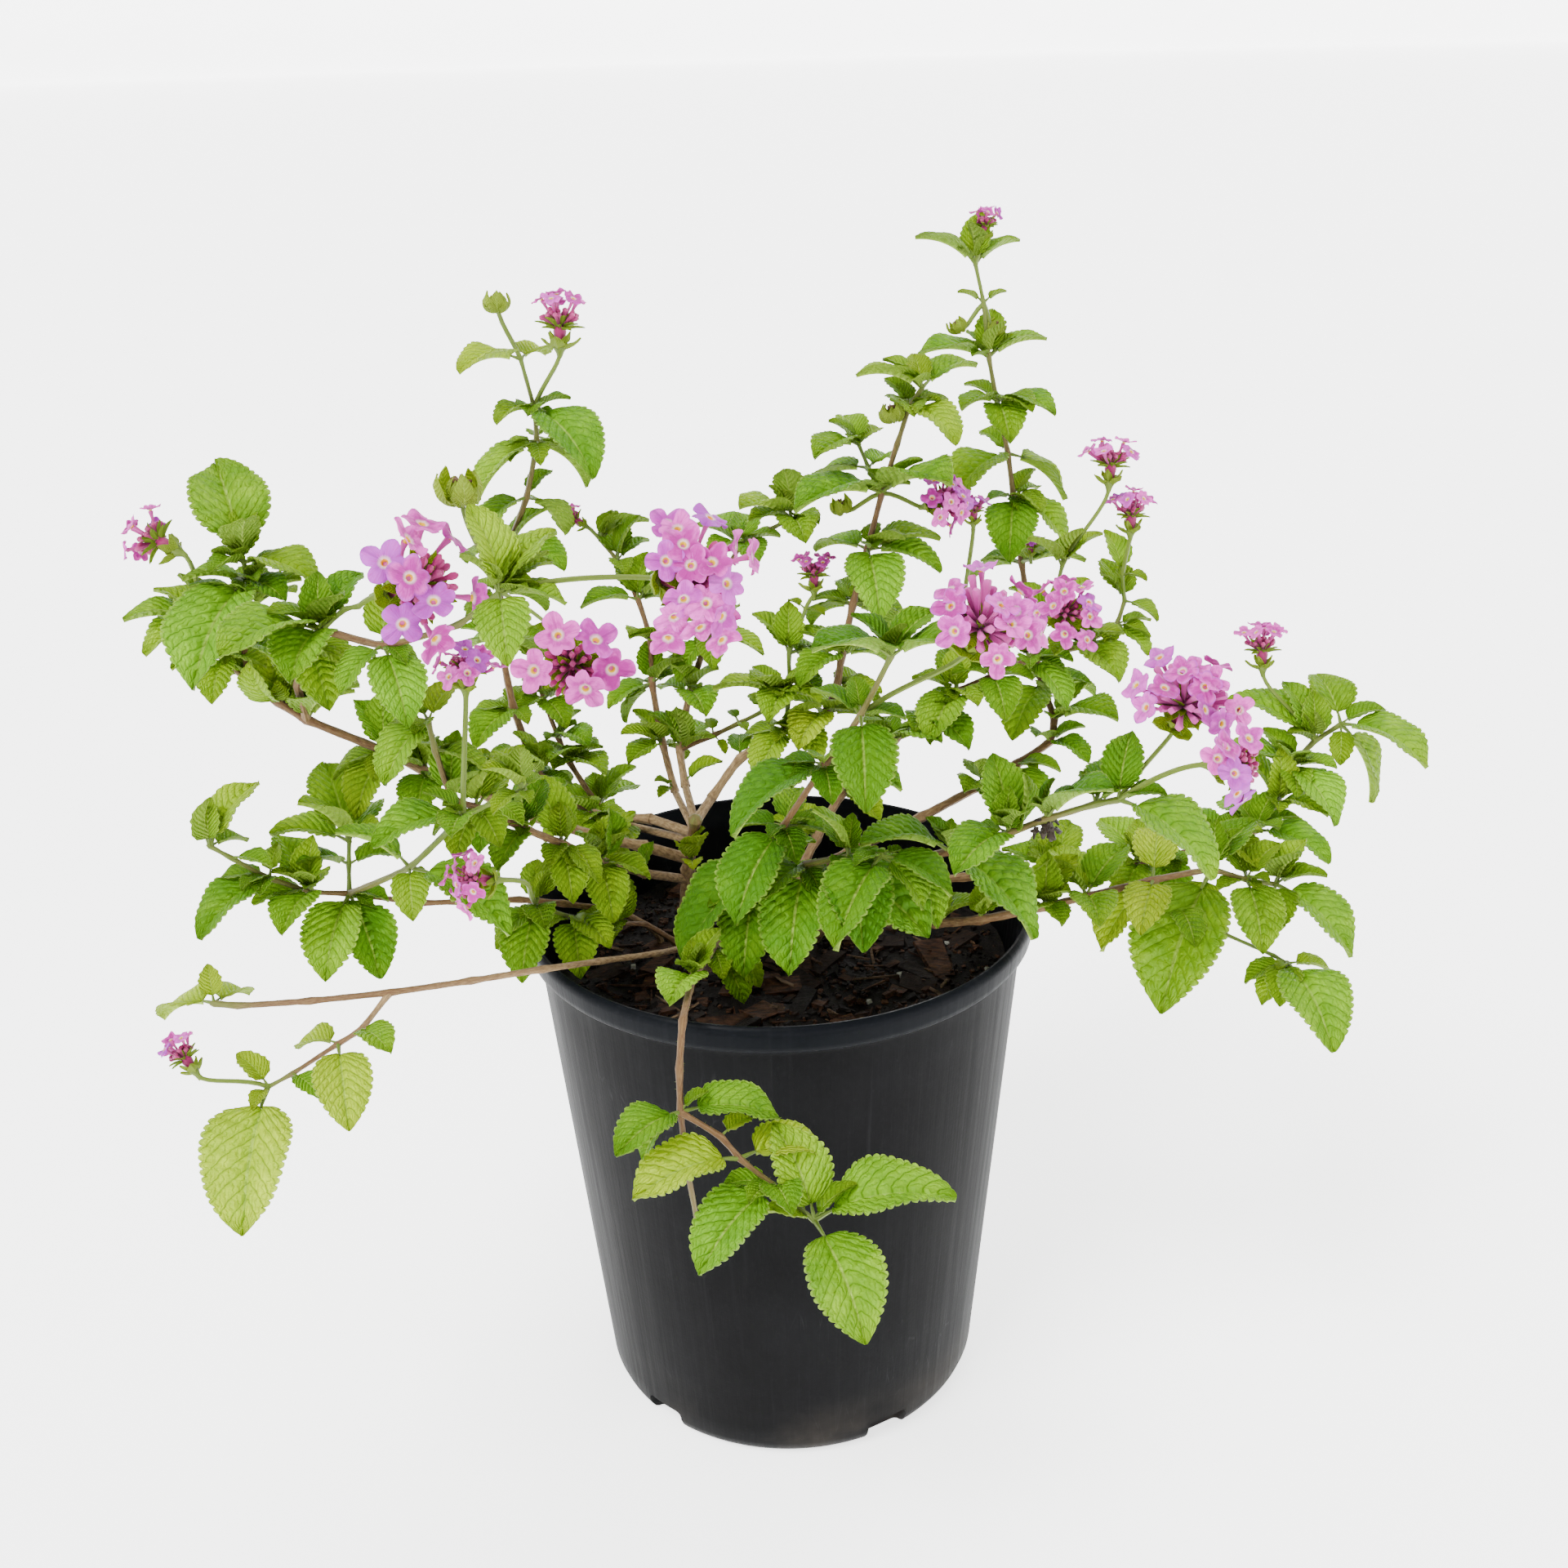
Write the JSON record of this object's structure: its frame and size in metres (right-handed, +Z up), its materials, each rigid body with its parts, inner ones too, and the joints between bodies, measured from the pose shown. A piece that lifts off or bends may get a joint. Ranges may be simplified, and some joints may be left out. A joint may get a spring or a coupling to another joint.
{
  "type": "potted trailing lantana",
  "caption": "Trailing lantana in flower in a plain round nursery pot: arching leafy stems with toothed leaves and flat-topped lilac flower heads spill over the rim.",
  "frame": {"origin": "centre of the pot's flat underside, on the ground", "axes": "+Z up along the pot's axis; -Y towards the viewer's side the plant is shown from; +X to that viewer's right"},
  "size_m": [0.4067, 0.2546, 0.3845],
  "materials": {
    "plastic": "matte black blow-moulded nursery plastic, slightly scuffed",
    "bark": "damp composted bark and chips",
    "wood": "dry tan-brown old stem",
    "foliage": null,
    "petal": null
  },
  "bodies": {
    "root": {"pot": "plastic", "soil": "bark", "crown": "wood", "stem_tall_left": "foliage", "stem_back_left": "foliage", "stem_back_pale": "foliage", "stem_back_mid": "foliage", "stem_tall_mid": "foliage", "stem_tallest": "foliage", "stem_right_back": "foliage", "stem_front_mid": "foliage", "stem_front_low": "foliage", "stem_front_right": "foliage", "stem_right_low": "foliage", "stem_right_high": "foliage", "stem_left_front": "foliage", "stem_left_far": "foliage", "stem_left_low": "foliage", "stem_left_rim": "foliage", "stem_left_long": "foliage", "stem_front_hang": "foliage", "bloom_left_upper": "petal", "bloom_left_lower": "petal", "bloom_centre_left": "petal", "bloom_facing": "petal", "bloom_centre_right": "petal", "bloom_right_back": "petal", "bloom_right_front": "petal", "bloom_right_low": "petal", "bloom_far_right": "petal", "bloom_high_right": "petal", "bloom_high_right_low": "petal", "bloom_back_centre": "petal", "bloom_back_small": "petal", "bloom_centre_small": "petal", "bloom_tallest_side": "petal", "bloom_top_right": "petal", "bloom_top_left": "petal", "bloom_back_left": "petal", "bloom_far_left": "petal", "bloom_hanging_left": "petal", "bloom_low_left": "petal"}
  },
  "joints": []
}
